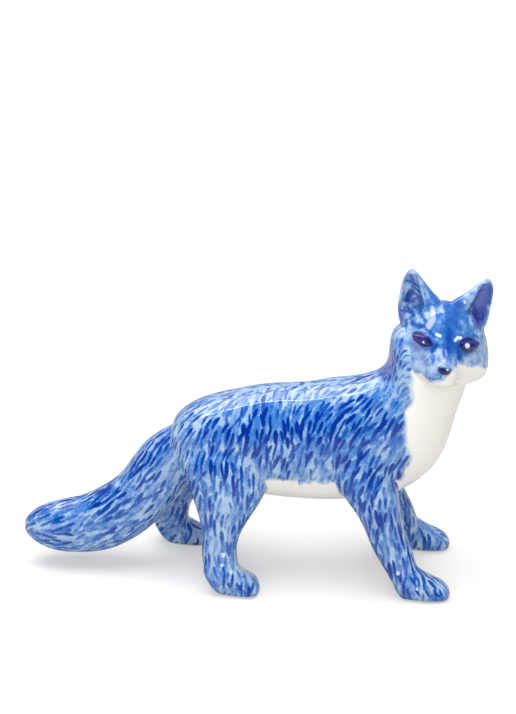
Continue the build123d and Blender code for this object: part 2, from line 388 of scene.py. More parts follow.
def noise(points, size, seed, waves=10):
    """Smooth random values from -1 to 1 with features of one size, in millimetres."""
    rng = np.random.default_rng(seed)
    total = np.zeros(len(points), np.float32)
    for _ in range(waves):
        direction = rng.normal(size=3)
        direction /= np.linalg.norm(direction)
        bend = rng.normal(size=3)
        wave = 2 * math.pi / (size * rng.uniform(0.8, 2.4))
        phase = rng.uniform(0, 2 * math.pi)
        bend_way = bend / (np.linalg.norm(bend) * size * 1.7)
        warp = 0.8 * np.sin(points @ bend_way * 2 * math.pi + phase)
        total += np.sin(points @ direction * wave + warp + phase * 1.7)
    return total / (0.45 * waves)


# Carving of the face on top of the castings, in millimetres

SIDES = (1, -1)
EYE = (9.2, 8.6, 4.9)
# Degrees that an eye faces outwards and upwards, and that its long axis leans
EYE_TURN, EYE_LIFT, EYE_SLANT = 38, 22, -8
# Skin this far from an eye's middle, and from its plane, belongs to it
EYE_REACH, EYE_DEPTH = 9, 6
# Half length and half height of the opening of each eye
OPENINGS = {1: (4.05, 2.5), -1: (5.0, 2.05)}
OPENING_TILT = 0.05
# Painted highlight in each eye, a pale reflection spot: across, up, radius
PAINTED_EYE_HIGHLIGHTS = {1: (-1.5, -0.1, 0.95), -1: (-1.8, -0.3, 0.5)}
BALL_RISE, BALL_ROUNDING = 0.30, 1.8
LID_CUT, LID_CUT_OFFSET, LID_CUT_WIDTH = 0.22, 0.2, 0.34
FOLD_RISE, FOLD_OFFSET, FOLD_WIDTH = 0.16, 1.1, 0.6
LASH_OFFSET, LASH_WIDTH = 0.35, 0.5
BROW, BROW_RISE, BROW_WIDTH = (12.2, 4.3, 8.6), 0.75, 2.3
NOSE, NOSE_SIZE, NOSE_BACK, NOSE_DARK = (23.6, 0.0, -0.3), (1.9, 2.25, 1.6), 20.5, 1.9
NOSTRIL, NOSTRIL_SIZE, NOSTRIL_DEPTH = (24.6, 1.25, -0.9), (1.0, 0.7, 0.5), 0.3
# Lines of the mouth on the head: to the left, up
MOUTH = [
    [(-1.2, -2.2), (-1.3, -3.6)],
    [(-1.3, -3.6), (-3.3, -4.6), (-5.2, -5.4), (-6.4, -5.4)],
    [(-1.3, -3.6), (-0.7, -4.5), (0.5, -5.4)],
]
LIPS_FROM, LIP_CUT, LIP_WIDTH = 10, 0.25, 0.38
# The tip of the muzzle is moved this far to the fox's right, over this stretch of it
MUZZLE_SHIFT, MUZZLE_FROM, MUZZLE_TO = 1.1, 8, 20
# Where nothing is painted
UNPAINTED = -2.0


def eye_place(place, side):
    """Across, up and out of the plane of an eye, for places on the head."""
    turn, tip, slant = math.radians(EYE_TURN * side), math.radians(EYE_LIFT), math.radians(EYE_SLANT)
    out = np.array([math.cos(turn) * math.cos(tip), math.sin(turn) * math.cos(tip), math.sin(tip)])
    across = np.cross([0, 0, 1], out)
    across /= np.linalg.norm(across)
    up = np.cross(out, across)
    slanted = math.cos(slant) * across + math.sin(slant) * up
    upright = np.cross(out, slanted)
    away = place - on_side(EYE, side)
    return away @ slanted * side, away @ upright, away @ out


def almond(a, b, half_length, half_height):
    """Signed distance to a pointed oval, positive inside."""
    radius = (half_length ** 2 + half_height ** 2) / (2 * half_height)
    drop = radius - half_height
    return radius - np.hypot(a, np.abs(b) + drop)


def stroke_distance(place, path):
    """Distance from places on the head to a polyline, seen from the front."""
    best = np.full(len(place), np.inf)
    flat = place[:, 1:]
    for start, end in zip(path[:-1], path[1:]):
        start, end = np.array(start), np.array(end)
        line = end - start
        t = np.clip(((flat - start) @ line) / (line @ line), 0, 1)
        best = np.minimum(best, length(flat - start - t[:, None] * line))
    return best


def carve_eye(side):
    """Ball, lid and upper fold of one eye, with the paint in it and round it and a painted highlight on
    it.
    """
    across, up, out = eye_place(head_place, side)
    near = front & (head_place[:, 1] * side > 0)
    near &= (np.hypot(across, up) < EYE_REACH) & (np.abs(out) < EYE_DEPTH)
    lid = almond(across, up - OPENING_TILT * across * side, *OPENINGS[side])
    deep[near] = np.maximum(deep[near], lid[near])
    fold = groove(lid + FOLD_OFFSET, FOLD_WIDTH) * smoothstep(up, 0.0, 1.5)
    lift[near] += BALL_RISE * smoothstep(lid, 0.0, BALL_ROUNDING)[near]
    lift[near] -= LID_CUT * groove(lid + LID_CUT_OFFSET, LID_CUT_WIDTH)[near]
    lift[near] += FOLD_RISE * fold[near]
    shade = smoothstep(lid, -3.4, -0.6) * (0.45 + 0.55 * smoothstep(-across, -2, 4))
    socket[near] = np.maximum(socket[near], shade[near])
    line = groove(lid + LASH_OFFSET, LASH_WIDTH) * smoothstep(up, -0.2, 1.0)
    lash[near] = np.maximum(lash[near], line[near])
    # Painted highlight: a pale reflection spot painted into the eye's colour
    spot_across, spot_up, radius = PAINTED_EYE_HIGHLIGHTS[side]
    spot = np.hypot(across - spot_across, up - spot_up) / radius
    glint[near] = np.maximum(glint[near], np.exp(-spot ** 4)[near])


def carve_brow(side):
    """Knob over the inner corner of an eye."""
    away = length(head_place - on_side(BROW, side))
    lift[front] += BROW_RISE * groove(away, BROW_WIDTH)[front]


def carve_nostril(side):
    away = length((head_place - on_side(NOSTRIL, side)) / np.array(NOSTRIL_SIZE))
    lift[front] -= NOSTRIL_DEPTH * np.exp(-away ** 2)[front]


def paint_nose():
    """The dark layer with the nose added to the eyes."""
    away = length((head_place - np.array(NOSE)) / np.array(NOSE_SIZE))
    tip = front & (head_place[:, 0] > NOSE_BACK)
    return np.where(tip, np.maximum(deep, (1.0 - away) * NOSE_DARK), deep)


head_place = on_head(skin)
front = in_head & (head_place[:, 0] > 1)
lift, glint, socket, lash = layer(), layer(), layer(), layer()
deep = layer(UNPAINTED)
for side in SIDES:
    carve_eye(side)
    carve_brow(side)
deep = paint_nose()
for side in SIDES:
    carve_nostril(side)
mouth = np.min([stroke_distance(head_place, path) for path in MOUTH], axis=0)
lips = front & (head_place[:, 0] > LIPS_FROM) & (head_place[:, 2] < 0)
lift[lips] -= LIP_CUT * groove(mouth, LIP_WIDTH)[lips]
skin = skin + lift[:, None] * outward
muzzle_shift = MUZZLE_SHIFT * smoothstep(head_place[:, 0], MUZZLE_FROM, MUZZLE_TO) * in_head
skin = skin - muzzle_shift[:, None] * LEFT
head_place = on_head(skin)
clock("face carved")


# Tables of the paint: each row is a place in the side view, along and up, and a value

# Lean of the painted hairs from the vertical, in degrees towards the tail
LEANS = [
    (-19.6, 73, 48), (-23, 65, 34), (-16, 66, 14), (-10, 50, -4), (-4, 60, 6), (8, 72, 6), (10, 62, 8),
    (22, 70, 10), (25, 60, 16), (36.5, 71, 34), (46, 70, 44), (52, 77, 30), (50, 88, 22), (44, 53, 24),
    (50, 33, -4), (56, 22, -8), (18, 51, 20), (-33, 59, 30), (-48, 40, 42), (-63, 30, 56), (-79, 26, 72),
    (-54, 20, 62), (-12, 24, 6), (-5, 6, 0), (65, 6, 0), (58, 92, 12), (32, 48, 20), (-25, 50, 16),
]
# Strength of the cobalt
TONES = [
    (6, 70, 1.5), (24, 69, 1.5), (-12, 62, 0.9), (16, 60, 0.8), (18, 51, 0.3), (25, 51, 0.3),
    (11, 52, 0.35), (31, 52, 0.4), (-12, 50, 0.75), (-8, 42, 0.45), (-20, 75, 0.55), (-26, 64, 0.5),
    (-42, 50, 0.8), (-56, 34, 0.8), (-76, 27, 0.7), (-54, 20, 0.4), (-88, 22, 0.4), (-36, 44, 0.4),
    (-12, 24, 0.5), (-6, 6, 0.5), (38, 68, 1.1), (50, 76, 0.85), (52, 90, 0.8), (46, 54, 0.7),
    (38, 58, 0.9), (52, 30, 0.7), (64, 8, 0.5), (32, 48, 0.7), (15, 84, 0.3), (-5, 82, 0.3),
    (35, 88, 0.35), (-32, 30, 0.5), (-16, 77, 0.55), (-4, 78.5, 0.5), (8, 80, 0.5), (20, 81, 0.5),
    (32, 83, 0.5), (42, 85, 0.5), (58, 94, 0.6), (56, 100, 0.5),
]
# A place in these tables weighs less with this power of its distance, and levels off close by
FALL_POWER = 3.6
LEVEL_RADIUS = 2.0

# Front edge of the paint above the breast: up, along the fox
BREAST_EDGE = [(45, 58.2), (50, 59.2), (56, 61.4), (62, 60.6), (68, 59.4), (75, 59.8), (81, 61.6),
               (90, 60.8), (100, 64)]
BELLY_TOP = 47.2
# Lower edge of the paint on the head: to the left, up
JAW_EDGE = [(-14, -9.0), (-12, -8.2), (-9, -6.9), (-5, -6.1), (-2.5, -4.9), (-1, -4.0), (0.5, -2.4),
            (2, -0.4), (6, -0.7), (10, -2.8), (14, -3.5), (17, -5.6)]
# Heights between which the bare rim of a sole ends
SOLE_RIM = (0.5, 1.2)
# An ear's cup is the part of it that faces forwards at least this much
CUP_FACING = 0.15


def spread(table, points):
    """Value at each point from a few places, each weighing more the nearer it is."""
    x, z = points[:, 0] - ZERO, points[:, 2]
    total = np.zeros(len(x))
    weight = np.zeros(len(x))
    for along, up, value in table:
        w = ((x - along) ** 2 + (z - up) ** 2 + LEVEL_RADIUS ** 2) ** (-FALL_POWER / 2)
        total += w * value
        weight += w
    return total / weight


def between(place, table):
    """Value at each place along a line, straight between the rows of a table."""
    return np.interp(place, *zip(*table))


def skull_share(place):
    """1 where the hairs lie as on the head, 0 where they lie as on the body."""
    forwards, left, up = place.T
    above_jaw = smoothstep(up + 0.6 * forwards, -14, -6)
    return above_jaw * smoothstep(left, -17, -13) * (length(place) < 34)


def hair_direction(points, normals, jitter):
    """Unit vectors along the painted hairs, down and towards the tail."""
    lean = np.radians(spread(LEANS, points) + jitter)
    sideways = 0.35 * np.tanh(points[:, 1] / 3.0) * np.clip(normals[:, 2], 0, 1)
    way = np.stack([-np.sin(lean), sideways, -np.cos(lean)], axis=1)
    place = on_head(points)
    on_skull = skull_share(place)
    back = -0.75 * FACING + 0.55 * np.tanh(place[:, 1] / 4)[:, None] * LEFT
    back = back + np.where(place[:, 2] > 1, 0.45, -0.35)[:, None] * CROWN
    way = way * (1 - on_skull)[:, None] + back * on_skull[:, None]
    return unit(way - np.sum(way * normals, axis=1)[:, None] * normals)


def swing(points):
    """Slow swing of the hairs over the skin, in degrees."""
    return 8 * noise(points, 12, 3)


def bare_share(points, place, normals, owner):
    """1 where the porcelain stays white: breast, belly, throat, jaw and the rims of the soles."""
    x, y, z = points[:, 0] - ZERO, points[:, 1], points[:, 2]
    wobble = 1.3 * noise(points, 9, 5) + 0.9 * noise(points, 3.5, 6)
    streak = noise(points * np.array([1.0, 1.0, 0.3]), 1.6, 9)
    edge = between(z, BREAST_EDGE) + 0.45 * wobble + 0.5 * streak
    breast = smoothstep(x, edge - 2.8, edge + 2.2) * smoothstep(z, 32, 38)
    top = BELLY_TOP + 0.4 * wobble + 0.7 * streak
    turned_down = smoothstep(-normals[:, 2], 0.10, 0.55)
    belly = smoothstep(top - z, -4.0, 3.0) * smoothstep(x, -2, 6)
    belly *= np.maximum(turned_down, smoothstep(top - z, -2.0, 2.0)) * (np.abs(y) < 20)
    sole = 1 - smoothstep(z, *SOLE_RIM)
    body = np.where(among(owner, LEGS), sole, np.maximum(breast, belly))
    jaw_edge = between(place[:, 1], JAW_EDGE) + 0.4 * noise(points, 5, 8) + 0.3 * streak
    jaw = smoothstep(jaw_edge - place[:, 2], -1.2, 1.2) * smoothstep(place[:, 0], -9, -4)
    return np.clip(np.where(among(owner, HEAD_NODES), jaw, body), 0, 1)


point_owner = owners(skin)
outward = point_normals(skin, quads).astype(np.float32)
bare = bare_share(skin, head_place, outward, point_owner)
skull = in_head & among(point_owner, ["head"])
ears = among(point_owner, EARS)
cup = ears & (outward @ FACING > CUP_FACING)
clock("masks")
turned_outwards = np.sum(outward * surface.normals(skin), axis=1) > 0
print("scene: share of the skin turned outwards", turned_outwards.mean())


# Brush strokes

# The row of dashes along the spine: from, to, and its place across the fox
SPINE_START, SPINE_END, SPINE_ACROSS = -12.0, 44.0, -4.2
# Strokes stay this far from the row, to its sides and past its ends, on skin above this height
SPINE_CLEAR, SPINE_MARGIN, SPINE_LOWEST = 1.3, 2, 72
# On the head the points lie four times as close, and the strokes lie further apart
HEAD_WEIGHT = 0.25
SKULL_GAP = 1.7
# Tries, then least distance across and along the hairs
STROKE_TRIES, STROKE_ACROSS, STROKE_ALONG = 52000, 1.65, 4.6
SMEAR_TRIES, SMEAR_ACROSS, SMEAR_ALONG = 16000, 2.3, 5.2
# Strokes on the body this close to the middle of the head are short, narrow and pale
BY_HEAD = 30


def place_strokes(rng, tries, across_gap, along_gap, keep):
    """Seeds spread over the painted skin, closer across the hairs than along them."""
    weight = np.where(in_head, HEAD_WEIGHT, 1.0) * keep
    order = rng.choice(len(skin), tries, replace=False, p=weight / weight.sum())
    ways = hair_direction(skin[order], outward[order], swing(skin[order]))
    sparse = np.where(skull[order], SKULL_GAP, 1.0)
    cells, seeds = {}, []
    size = SKULL_GAP * along_gap
    around = [(a, b, c) for a in (-1, 0, 1) for b in (-1, 0, 1) for c in (-1, 0, 1)]
    for i, way, apart in zip(order, ways, sparse):
        place = skin[i]
        cell = tuple((place // size).astype(int))
        near = [item for step in around for item in cells.get(tuple(np.add(cell, step)), ())]
        if near:
            others = np.array(near)
            gap = others[:, :3] - place
            along = gap @ way
            across = np.maximum(np.sum(gap * gap, axis=1) - along * along, 0)
            close = (along / (along_gap * apart)) ** 2 + across / (across_gap * apart) ** 2 < 1
            if np.any(close & (others[:, 3:] @ outward[i] > 0)):
                continue
        cells.setdefault(cell, []).append((*place, *outward[i]))
        seeds.append(i)
    return np.array(seeds)


def trace(starts, lengths, turns, bends, steps=10):
    """Paths over the skin from each start, along the hairs."""
    q = skin[starts].astype(np.float64)
    path = [q]
    for step in range(steps - 1):
        bend = bends * (step / steps - 0.5)
        q = q + hair_direction(q, surface.normals(q), turns + bend) * (lengths / (steps - 1))[:, None]
        q = q - surface.at(q)[:, None] * surface.normals(q)
        path.append(q)
    return np.stack(path, axis=1)


def hair_strokes(rng):
    """Paths, half widths and tones of the cobalt strokes."""
    seeds = place_strokes(rng, STROKE_TRIES, STROKE_ACROSS, STROKE_ALONG, painted)
    count = len(seeds)
    clock(f"{count} strokes placed")
    places = skin[seeds]
    by_head = ~in_head[seeds] & (length(on_head(places)) < BY_HEAD)
    tones = spread(TONES, places) * rng.uniform(0.5, 1.25, count)
    tones = np.clip(tones * (0.95 + 0.45 * noise(places, 8, 12)), 0.05, 1.0)
    tones[skull[seeds]] *= 0.45
    lengths = rng.uniform(4.0, 8.8, count)
    lengths[skull[seeds]] *= 0.55
    lengths[by_head] *= 0.5
    widths = rng.uniform(0.42, 0.82, count) * (0.72 + 0.45 * tones)
    widths[by_head] *= 0.75
    tones[by_head] *= 0.7
    turns = rng.normal(0, 10, count) + swing(places)
    return trace(seeds, lengths, turns, rng.normal(0, 16, count)), widths, tones


def smears_under(rng):
    """Paths, half widths and tones of the broad pale smears under the strokes."""
    seeds = place_strokes(rng, SMEAR_TRIES, SMEAR_ACROSS, SMEAR_ALONG, painted)
    clock(f"{len(seeds)} smears placed")
    tones = spread(TONES, skin[seeds]) + 0.35 * noise(skin[seeds], 7, 31)
    kept = tones + rng.uniform(-0.35, 0.35, len(seeds)) > 0.3
    seeds, tones = seeds[kept], np.clip(tones[kept], 0.3, 1)
    count = len(seeds)
    lengths = rng.uniform(5, 11, count)
    paths = trace(seeds, lengths, rng.normal(0, 12, count), rng.normal(0, 16, count))
    return paths, rng.uniform(0.8, 1.7, count), tones


rng = np.random.default_rng(SEED)
spine_middle = (SPINE_START + SPINE_END) / 2
spine_half = (SPINE_END - SPINE_START) / 2 + SPINE_MARGIN
on_spine = np.abs(skin[:, 1] - SPINE_ACROSS) < SPINE_CLEAR
on_spine &= (skin[:, 2] > SPINE_LOWEST) & (np.abs(skin[:, 0] - spine_middle) < spine_half)
painted = (bare < 0.5) & ~cup & ~(skull & front) & ~on_spine
stroke_paths, stroke_widths, stroke_tones = hair_strokes(rng)
smear_paths, smear_widths, smear_tones = smears_under(rng)
clock("strokes traced")


# Paint on the skin: ink and smear are distances inside the edge of the nearest stroke

# Skin this far outside a stroke still gets its distance
RIM = 0.9
# How blunt the ends of a stroke are, and how much of its tone it loses along its length
BLUNTNESS, FADING = 0.52, 0.35
# Where the widest place of a stroke lies: the lower, the nearer its start
SMEAR_TAPER, STROKE_TAPER, LINE_TAPER = 0.85, 0.72, 1.0
DASH_WIDTH, TOE_WIDTH = 0.5, 0.55
# The dashes come down onto the skin from this height
OVER_SPINE = 90.0
# Lines are brought onto the skin in so many steps, none longer than this
PULL_ROUNDS, PULL_STEP = 12, 5
# Dark lines between the toes of each paw: along the fox and up, from the middle of the sole
TOE_LINES = [((-4.6, 8.0), (-3.4, 3.0)), ((0.4, 8.4), (1.6, 3.0)), ((5.4, 7.6), (7.0, 3.4))]
# Middle of each sole: along the fox, across
PAWS = [(-3.9, -21), (-27.6, 21), (68.7, -21), (70.5, 21)]
# The lines come in from this many times as far out
FROM_OUTSIDE = 1.6
# Half width and tone of the line in the mouth
MOUTH_WIDTH, MOUTH_TONE = 0.1, 0.5
FURROW = 0.02

ink, strength = layer(UNPAINTED), layer()
smear, smear_strength = layer(UNPAINTED), layer()
tree = KDTree(len(skin))
for i, point in enumerate(skin):
    tree.insert(point, i)
tree.balance()
clock("tree")


def paint(covered, shade, path, half_width, tone, taper):
    """Widens the area covered with paint by one stroke."""
    middle = path[len(path) // 2]
    reach = length(path - middle).max() + half_width + RIM
    found = np.array([item[1] for item in tree.find_range(middle, reach)], int)
    if not len(found):
        return
    normal = outward[found[np.argmin(length(skin[found] - middle))]]
    found = found[outward[found] @ normal > 0.1]
    line = path[1:] - path[:-1]
    away = skin[found][:, None, :] - path[None, :-1, :]
    t = np.clip(np.einsum("ijk,jk->ij", away, line) / np.einsum("jk,jk->j", line, line), 0, 1)
    distance = np.linalg.norm(away - t[:, :, None] * line, axis=2)
    nearest = np.argmin(distance, axis=1)
    rows = np.arange(len(found))
    along = (nearest + t[rows, nearest]) / len(line)
    width = half_width * np.sin(np.pi * np.clip(along, 0.02, 0.98) ** taper) ** BLUNTNESS
    inside = width - distance[rows, nearest]
    better = inside > covered[found]
    covered[found[better]] = inside[better]
    shade[found[better]] = (tone * (1 - FADING * along))[better]


def paint_spine(rng):
    """A row of dashes along the spine."""
    x = SPINE_START
    while x < SPINE_END:
        long = rng.uniform(3.5, 7.5)
        wave = 0.5 * np.sin(np.arange(8) * 0.6 + x)
        along = np.linspace(x, x + long, 8) + ZERO
        line = np.stack([along, wave + SPINE_ACROSS, np.full(8, OVER_SPINE)], axis=1)
        for _ in range(PULL_ROUNDS):
            line[:, 2] -= np.clip(surface.at(line), -PULL_STEP, PULL_STEP)
        paint(ink, strength, line, DASH_WIDTH, 1.0, LINE_TAPER)
        x += long + rng.uniform(0.6, 1.8)


def paint_toes(paw_along, paw_across):
    """Dark lines between the toes of one paw."""
    for (x0, z0), (x1, z1) in TOE_LINES:
        along = np.linspace(x0, x1, 6) + paw_along + ZERO
        line = np.stack([along, np.full(6, paw_across * FROM_OUTSIDE), np.linspace(z0, z1, 6)], axis=1)
        for _ in range(PULL_ROUNDS):
            step = np.clip(surface.at(line), -PULL_STEP, PULL_STEP)
            line -= step[:, None] * surface.normals(line)
        paint(ink, strength, line, TOE_WIDTH, 1.0, LINE_TAPER)


def paint_mouth():
    inside = MOUTH_WIDTH - mouth
    better = lips & (inside > ink)
    ink[better] = inside[better]
    strength[better] = MOUTH_TONE


for path, half_width, tone in zip(smear_paths, smear_widths, smear_tones):
    paint(smear, smear_strength, path, half_width, tone, SMEAR_TAPER)
for path, half_width, tone in zip(stroke_paths, stroke_widths, stroke_tones):
    paint(ink, strength, path, half_width, tone, STROKE_TAPER)
clock("strokes painted")
paint_spine(rng)
for paw in PAWS:
    paint_toes(*paw)
paint_mouth()
ink = np.clip(ink, -1.0, 1.0)
clock("lines painted")

# The brush leaves a shallow furrow
furrow = FURROW * smoothstep(ink, -0.35, 0.35) * (0.4 + 0.6 * strength) * (1 - bare)
skin = skin - furrow[:, None] * outward
outward = point_normals(skin, quads).astype(np.float32)


# Tones that vary slowly over the skin, for the material

# Marks on the head: path (to the left, up), half width, softness, then mid blue, cobalt and violet
MARKS = [
    ([(3.4, 18.0), (2.4, 13.0), (1.4, 9.5), (1.2, 6.0)], 3.0, 3.4, 0.95, 0.42, 0.0),
    ([(1.4, 10.0), (1.0, 4.2)], 1.0, 1.8, 1.0, 0.6, 0.0),
    ([(4.8, 6.0), (5.2, 2.0)], 0.7, 1.5, 1.0, 0.6, 0.0),
    ([(-3.0, 5.4), (-4.8, 3.4)], 0.6, 1.3, 1.0, 0.6, 0.0),
    ([(-11.8, 8.2), (-7.6, 9.2), (-4.0, 7.4)], 0.3, 1.4, 1.0, 0.5, 0.0),
    ([(4.8, 8.6), (9.0, 9.0), (13.0, 7.0)], 0.3, 1.0, 1.0, 0.3, 0.0),
    ([(-17.0, 9.0), (-16.5, 1.0), (-14.0, -4.0)], 1.4, 2.4, 0.85, 0.3, 0.7),
    ([(-10.5, 12.5), (-13.8, 9.0), (-14.6, 5.0)], 0.25, 0.8, 0.9, 0.3, 0.0),
    ([(-12.5, 2.0), (-8.0, -0.6)], 0.9, 2.0, 0.6, 0.1, 0.9),
    ([(-5.2, 0.6), (-2.8, 2.4)], 0.3, 0.7, 0.8, 0.25, 0.3),
    ([(-7.4, -1.6), (-4.2, 0.2)], 0.2, 0.6, 0.6, 0.1, 0.5),
    ([(3.0, 3.2), (3.6, 0.4)], 0.3, 0.8, 0.7, 0.2, 0.1),
    ([(6.6, 1.4), (6.2, -0.4)], 0.5, 1.2, 0.5, 0.0, 0.4),
    ([(-8.6, 15.5), (-9.0, 12.5), (-6.0, 10.2)], 0.4, 1.8, 0.9, 0.3, 0.1),
    ([(8.4, 15.5), (7.4, 12.0), (9.5, 9.5)], 1.0, 2.4, 0.85, 0.25, 0.1),
    ([(12.5, 6.0), (15.0, 1.0)], 0.6, 2.0, 0.45, 0.0, 0.5),
    ([(-12.4, 25.4), (-11.4, 21.0), (-11.2, 17.5)], 0.4, 0.9, 0.9, 0.3, 0.5),
    ([(-13.9, 15.0), (-12.4, 18.2)], 0.8, 1.6, 1.0, 0.7, 0.0),
    ([(-9.6, 17.4), (-12.0, 14.4), (-14.8, 11.2)], 0.4, 0.9, 0.9, 0.1, 1.0),
    ([(16.0, 24.0), (13.8, 18.0), (13.4, 12.0)], 2.4, 1.5, 0.9, 0.05, 0.75),
    ([(11.6, 17.0), (13.0, 11.0)], 0.6, 1.2, 1.0, 0.5, 0.3),
    ([(-9.4, 28.0), (-4.6, 20.0), (-2.4, 17.0)], 0.7, 1.2, 0.95, 0.2, 0.0),
    ([(-7.6, 20.0), (-6.2, 16.4)], 0.3, 0.9, 0.8, 0.2, 0.1),
    ([(-6.8, 16.6), (-3.4, 14.6), (-4.4, 10.5)], 1.4, 2.2, 0.85, 0.15, 0.15),
    ([(8.8, 18.4), (6.0, 16.4)], 0.8, 1.6, 0.6, 0.05, 0.2),
]
# Painted highlights, glaze reflections painted white on the front of the head and ears: path, half
# width, softness, level
PAINTED_HIGHLIGHTS = [
    ([(-3.3, 8.3), (-2.1, 8.1)], 0.5, 0.3, 0.95),
    ([(3.5, 7.3), (4.4, 8.2), (5.8, 8.1)], 0.5, 0.3, 0.95),
    ([(-0.2, 4.2), (0.1, 3.2)], 0.4, 0.5, 0.4),
    ([(-4.6, 15.4), (-4.4, 12.6), (-6.3, 9.8)], 1.0, 0.8, 0.55),
    ([(-0.3, 0.5), (0.1, 0.3)], 0.3, 0.3, 0.9),
    ([(-1.7, 1.9), (-0.8, 2.0)], 0.4, 0.5, 0.5),
    ([(7.5, 19.3), (7.6, 18.9)], 0.4, 0.3, 0.9),
    ([(-9.2, 26.0), (-6.0, 20.6)], 0.25, 0.4, 0.6),
]
# Painted highlights, glaze reflections painted white on the near legs: along the fox, up, radius
PAINTED_LEG_HIGHLIGHTS = [(-10.1, 17.6, 0.8), (-10.6, 13.6, 0.55), (-7.0, 11.0, 0.5),
              (57.6, 12.0, 0.7), (65.0, 6.4, 0.5)]
# The marks reach back over the head to here
MARKS_FROM = -9
# The eyes are violet to this far outside their openings, and the nose, from here on, is not
EYE_RIM, NOSE_FROM = -0.5, 18
# Painted shadow in violet and mid blue on the neck behind the head: its middle from the head's, and its
# half sizes
NECK_SHADOW_MIDDLE, NECK_SHADOW_SIZE = (-20, 0, -6), (8, 14, 12)
# The rump is a little violet behind and above here
RUMP_FRONT, RUMP_LOWEST, RUMP_VIOLET = -14, 55, 0.25


def wash_of_body():
    """Share of mid blue: slow tones, with the smears over them."""
    slow = spread(TONES, skin) * 0.6 + 0.22 + 0.22 * noise(skin, 6, 21)
    covered = smoothstep(smear, -0.5, 0.45) * (0.35 + 0.65 * smear_strength)
    return np.clip(0.5 * slow + 0.5 * covered, 0, 1)


def with_head(wash):
    """The same wash with the skull and the ears in tones of their own."""
    forwards = head_place[:, 0]
    wash = np.where(skull, 0.32 + 0.3 * noise(skin, 3.4, 22), wash)
    wash = np.where(skull, np.maximum(wash, 0.95 * socket), wash)
    nape = np.maximum(wash, 0.6 * smoothstep(-forwards, -2, 6))
    wash = np.where(skull & (forwards < 2), nape, wash)
    wash = np.where(ears, 0.5 + 0.3 * noise(skin, 4, 24), wash)
    return np.where(cup, 0.35 + 0.3 * noise(skin, 2.5, 23), wash)


def violet_of_body():
    rump = RUMP_VIOLET * (skin[:, 0] < RUMP_FRONT) * (skin[:, 2] > RUMP_LOWEST)
    return np.clip(0.14 * noise(skin, 22, 51) - 0.06 + rump, 0, 1) * ~in_head


def add_marks():
    """Lays the marks on the head into the wash, the navy and the purple."""
    face = in_head & (head_place[:, 0] > MARKS_FROM)
    for path, half, soft, blue, cobalt, violet in MARKS:
        away = stroke_distance(head_place[face], path) + 0.5 * noise(skin[face], 2.2, 61)
        share = 1 - smoothstep(away, half - 0.5 * soft, half + soft)
        wash[face] += (blue - wash[face]) * share * (blue > wash[face])
        navy[face] = np.maximum(navy[face], cobalt * share)
        purple[face] = np.maximum(purple[face], violet * share)


def add_painted_highlights():
    """Painted highlights: small white reflections painted into the colour, because no lamp gives them
    without specks elsewhere.
    """
    for path, half, soft, level in PAINTED_HIGHLIGHTS:
        away = stroke_distance(head_place[front], path)
        share = 1 - smoothstep(away, half - 0.5 * soft, half + 0.5 * soft)
        glint[front] = np.maximum(glint[front], level * share)
    near_leg = (outward[:, 1] < -0.3) * (skin[:, 1] < -14)
    for along, up, radius in PAINTED_LEG_HIGHLIGHTS:
        spot = np.maximum(np.abs(skin[:, 0] - ZERO - along), 0.8 * np.abs(skin[:, 2] - up)) / radius
        glint[:] = np.maximum(glint, 0.9 * np.exp(-spot ** 6) * near_leg)


navy = np.maximum(0.8 * lash, 0.35 * socket)
# Painted shadow on the neck behind the head: violet and mid blue that fade out from its middle
neck_shadow_distance = length((skin - HEAD_CENTRE - np.array(NECK_SHADOW_MIDDLE)) / np.array(NECK_SHADOW_SIZE))
purple = np.maximum(violet_of_body(), 0.6 * (1 - smoothstep(neck_shadow_distance, 0.4, 1.1)))
wash = with_head(wash_of_body())
wash = np.maximum(wash, np.where(in_head, 0, 0.75 * (1 - smoothstep(neck_shadow_distance, 0.5, 1.2))))
add_marks()
add_painted_highlights()
purple = np.where(in_head & (head_place[:, 0] < NOSE_FROM) & (deep > EYE_RIM), 1.0, purple)
clock("tones")


# Glazed porcelain

# Colours of the paint in sRGB; of each pair the second is the more violet or grey
PALE_BLUES = (168, 196, 221), (152, 172, 208)
MIDDLE_BLUES = (52, 114, 190), (90, 94, 174)
EDGE_BLUES = (30, 96, 180), (78, 80, 164)
CORE_BLUES = (0, 44, 140), (30, 46, 134)
BARE_WHITE = (238, 235, 230)
NAVY_RIM = (12, 26, 88)
IRIS_BLUES = (4, 34, 104), (54, 46, 122)
PUPIL = (22, 22, 84)
# Colour of the painted highlights
PAINTED_HIGHLIGHT_WHITE = (206, 214, 236)
GLAZE = {"Roughness": 0.3, "IOR": 1.5, "Specular IOR Level": 0.0,
         "Coat Weight": 1.0, "Coat Roughness": 0.02, "Coat IOR": 1.5}


def linear(red, green, blue):
    """Scene colour of an sRGB colour given in 0 to 255."""
    out = []
    for value in (red, green, blue):
        c = value / 255
        out.append(c / 12.92 if c <= 0.04045 else ((c + 0.055) / 1.055) ** 2.4)
    return (*out, 1.0)


